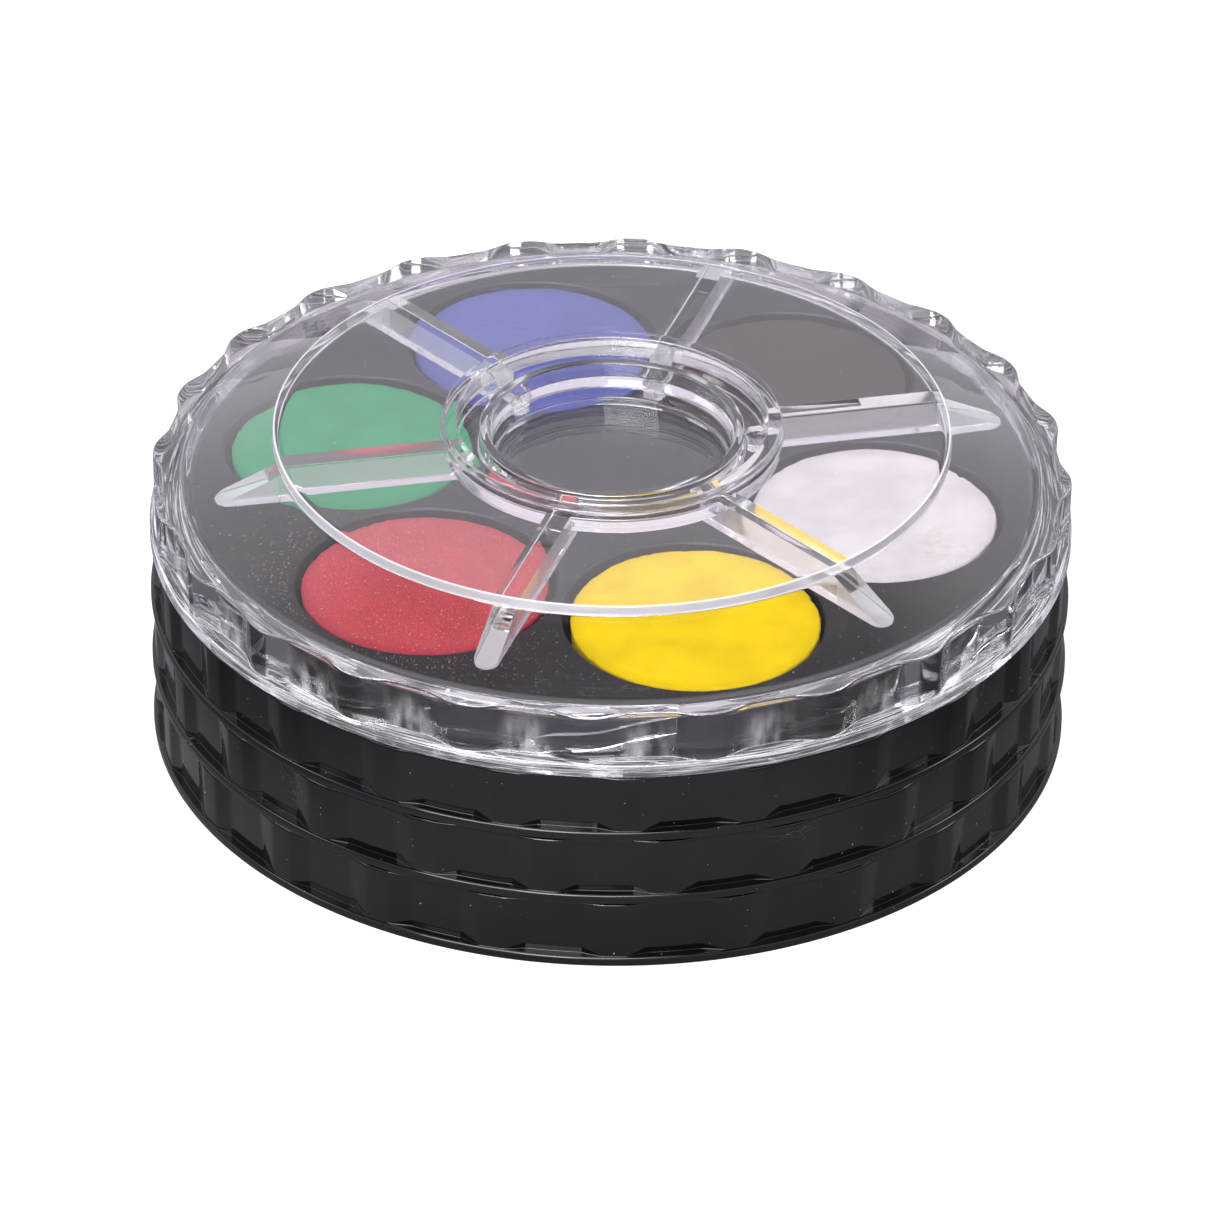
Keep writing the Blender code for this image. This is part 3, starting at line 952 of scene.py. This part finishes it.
def buildLid():
    look = lidLook
    lid = turnedBody("lid", lidCorners)
    ribs = ringOf("ribs", ribMesh(), 6, 0.0, clearPlastic)
    lugs = ringOf("lugs", lugMesh("lid", True), 6, lugLook["lid"]["first"], clearPlastic)
    cut(lid, "UNION", joinMeshes("lidTool", [ribs, lugs]))
    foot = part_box("lid")[0].z
    lid.data.materials.clear()
    for finish in lidFinishes:
        lid.data.materials.append(finish)
    markPaintedReflections(lid.data)
    for face in lid.data.polygons:
        face.material_index = lidFinish(face.center / mm, face.normal)
    lid.data.transform(Matrix.Translation((0, 0, foot)) @ Matrix.Rotation(math.radians(look["turn"]), 4, "Z"))
    lid.name = "clear_lid"
    finishPiece(lid, "lid", ["lid"])
    print("lid made:", len(lid.data.polygons), "faces")


buildLid()


# paint dust and crumbs on the top tray

crumbLook = {
    "density": 5.0e6, "size": 0.12, "seed": 5,
    "colors": ((0.62, 0.42, 0.10), (0.62, 0.56, 0.46), (0.30, 0.03, 0.03)),
    "step": 0.5, "span": 51, "lift": 0.02, "trayEdge": 50.4, "panEdge": 16.5, "cakeEdge": 16.3,
    "everywhere": 0.012, "redReach": 4.2, "nearYellow": 0.05, "yellowReach": 6,
}
heaviestWay = Vector((-0.8, -0.6, 0))


def makeCrumbPaint():
    material, tree, shader, output = newMaterial("crumbPaint")
    place = objectPlace(tree)
    hue = noiseOf(tree, place, 0.5, 2.0, 0.6)
    ochre, pale, red = crumbLook["colors"]
    color = mixColors(tree, stepBetween(tree, hue, 0.40, 0.62), ochre, pale)
    color = mixColors(tree, stepBetween(tree, noiseOf(tree, place, 0.3, 1.0), 0.60, 0.66), color, red)
    tree.links.new(color, shader.inputs["Base Color"])
    tree.links.new(stepBetween(tree, hue, 0.3, 0.7, 0.75, 0.95), shader.inputs["Roughness"])
    tree.links.new(bumpFrom(tree, noiseOf(tree, place, 0.05), 0.3, 0.01), shader.inputs["Normal"])
    return material


def dustAmount(spot, pans):
    # thickest in a crescent beside the red tablet, thin elsewhere and none in the pans
    look = crumbLook
    nearest = min((spot - pan).length for pan in pans.values())
    if nearest < look["panEdge"] or spot.length > look["trayEdge"]:
        return 0.0
    toRed = spot - pans["tablet_red"]
    side = toRed.normalized().dot(heaviestWay)
    away = max(toRed.length - look["cakeEdge"], 0)
    crescent = math.exp(-away / look["redReach"]) * clamp(0.35 + 0.65 * side)
    away = max((spot - pans["tablet_yellow"]).length - look["cakeEdge"], 0)
    return look["everywhere"] + crescent + look["nearYellow"] * math.exp(-away / look["yellowReach"])


def buildCrumbs():
    look = crumbLook
    pans = {node: Vector((*(centerOf(node) / mm).xy, 0)) for node in tabletsOf("top_disc")}
    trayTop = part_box("disc_1")[1].z / mm
    points, amounts, faces = [], [], []
    count = int(2 * look["span"] / look["step"]) + 1
    for i in range(count):
        for j in range(count):
            x, y = -look["span"] + i * look["step"], -look["span"] + j * look["step"]
            points.append((x, y, trayTop + look["lift"]))
            amounts.append(dustAmount(Vector((x, y, 0)), pans))
    for i in range(count - 1):
        for j in range(count - 1):
            corners = (i * count + j, (i + 1) * count + j, (i + 1) * count + j + 1, i * count + j + 1)
            if min(amounts[c] for c in corners) > 0:
                faces.append(corners)
    mesh = meshFrom("crumbBed", points, faces)
    mesh.attributes.new("dust", "FLOAT", "POINT").data.foreach_set("value", amounts)
    crumbs = linkObject("paint_crumbs", mesh)
    runTree(crumbs, crumbTree, Density=look["density"], CrumbSize=look["size"] * mm, Seed=look["seed"],
            Material=makeCrumbPaint())
    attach(crumbs, "top_disc")
    print("crumbs made:", len(crumbs.data.polygons), "faces")


buildCrumbs()


# floor, light and camera

stageLook = {
    "floorSize": 4.0, "floorColor": (0.215, 0.20, 0.225), "floorGlow": 0.95, "behind": 1.10,
    "sideShade": 0.25, "shadeFrom": 32.0, "shadeTo": 85.0,
    "horizon": 0.98, "zenith": 0.14, "topFrom": 0.62, "topTo": 0.90, "skyColor": (0.97, 0.925, 1.0),
}
lampLook = {
    "overhead": {"place": (-0.25, 0.35, 1.3), "size": 0.9, "power": 16.0, "glossy": False},
    "frontBox": {"place": (-0.25, -0.62, 1.05), "size": 0.9, "power": 26.0, "glossy": True},
    "frontStrip": {"place": (-0.30, -1.20, 0.78), "size": 0.3, "power": 6.0, "glossy": True},
    "leftBox": {"place": (-1.3, -0.2, 0.85), "size": 0.5, "power": 3.5, "glossy": True},
    "rightBox": {"place": (1.3, 0.1, 0.7), "size": 0.5, "power": 5.0, "glossy": True},
}
cameraLook = {
    "target": (-0.3, 0.0, 14.6), "distance": 933.0, "elevation": 32.6, "lens": 219.99, "roll": 0.83,
}


def buildFloor():
    look = stageLook
    half = look["floorSize"] / 2 / mm
    corners = [(-half, -half, 0), (half, -half, 0), (half, half, 0), (-half, half, 0)]
    mesh = meshFrom("floor", corners, [(0, 1, 2, 3)])
    floor = linkObject("floor", mesh)
    material, tree, shader, output = newMaterial("floorPaper")
    place = objectPlace(tree)
    paper = noiseOf(tree, place, 40.0, 2.0)
    tint = tuple(0.99 * c for c in look["floorColor"])
    color = mixColors(tree, paper, look["floorColor"], tint)
    parts = tree.nodes.new("ShaderNodeSeparateXYZ")
    tree.links.new(place, parts.inputs[0])
    aside = treeMath(tree, "ABSOLUTE", parts.outputs["X"], 0.0)
    shade = stepBetween(tree, aside, look["shadeFrom"] * mm, look["shadeTo"] * mm)
    color = mixColors(tree, shade, color, tuple(look["sideShade"] * c for c in look["floorColor"]))
    tree.links.new(color, shader.inputs["Base Color"])
    shader.inputs["Roughness"].default_value = 0.9
    shader.inputs["Specular IOR Level"].default_value = 0.1
    path = tree.nodes.new("ShaderNodeLightPath")
    glow = tree.nodes.new("ShaderNodeEmission")
    strength = treeMath(tree, "MULTIPLY", path.outputs["Is Camera Ray"], look["floorGlow"])
    tree.links.new(strength, glow.inputs["Strength"])
    both = tree.nodes.new("ShaderNodeAddShader")
    tree.links.new(shader.outputs[0], both.inputs[0])
    tree.links.new(glow.outputs[0], both.inputs[1])
    tree.links.new(both.outputs[0], output.inputs["Surface"])
    mesh.materials.append(material)


def buildWorld():
    look = stageLook
    world = bpy.data.worlds.new("studio")
    bpy.context.scene.world = world
    world.use_nodes = True
    tree = world.node_tree
    tree.nodes.clear()
    output = tree.nodes.new("ShaderNodeOutputWorld")
    background = tree.nodes.new("ShaderNodeBackground")
    place = tree.nodes.new("ShaderNodeTexCoord")
    parts = tree.nodes.new("ShaderNodeSeparateXYZ")
    tree.links.new(place.outputs["Generated"], parts.inputs[0])
    level = stepBetween(tree, parts.outputs["Z"], look["topFrom"], look["topTo"],
                        look["horizon"], look["zenith"])
    path = tree.nodes.new("ShaderNodeLightPath")
    seen = treeMath(tree, "MULTIPLY", path.outputs["Is Camera Ray"], look["behind"])
    strength = treeMath(tree, "MAXIMUM", level, seen)
    background.inputs["Color"].default_value = (*look["skyColor"], 1.0)
    tree.links.new(strength, background.inputs["Strength"])
    tree.links.new(background.outputs[0], output.inputs["Surface"])


def buildLamps():
    for name, look in lampLook.items():
        data = bpy.data.lights.new(name, "AREA")
        data.shape = "SQUARE"
        data.size = look["size"]
        data.energy = look["power"]
        lamp = bpy.data.objects.new(name, data)
        bpy.context.scene.collection.objects.link(lamp)
        lamp.location = look["place"]
        aim = Vector((0, 0, 0.03)) - Vector(look["place"])
        lamp.rotation_mode = "QUATERNION"
        lamp.rotation_quaternion = aim.to_track_quat("-Z", "Y")
        lamp.visible_camera = False
        lamp.visible_glossy = look["glossy"]
        lamp.visible_transmission = look["glossy"]


def buildCamera():
    look = cameraLook
    data = bpy.data.cameras.new("camera")
    camera = bpy.data.objects.new("camera", data)
    bpy.context.scene.collection.objects.link(camera)
    target = Vector(look["target"]) * mm
    lift = math.radians(look["elevation"])
    back = Vector((0, -math.cos(lift), math.sin(lift)))
    camera.location = target + back * look["distance"] * mm
    facing = (-back).to_track_quat("-Z", "Y").to_matrix().to_4x4()
    camera.rotation_mode = "QUATERNION"
    rolled = facing @ Matrix.Rotation(math.radians(look["roll"]), 4, "Z")
    camera.rotation_quaternion = rolled.to_quaternion()
    data.sensor_width = 36
    data.lens = look["lens"]
    data.clip_start = 0.01
    data.clip_end = 100
    bpy.context.scene.camera = camera


buildFloor()
buildWorld()
buildLamps()
buildCamera()
bpy.context.scene.view_settings.view_transform = "Standard"
bpy.context.scene.cycles.caustics_reflective = False
bpy.context.scene.cycles.caustics_refractive = False
bpy.context.scene.cycles.max_bounces = 24
bpy.context.scene.cycles.glossy_bounces = 16
bpy.context.scene.cycles.transmission_bounces = 20
print("stage made")
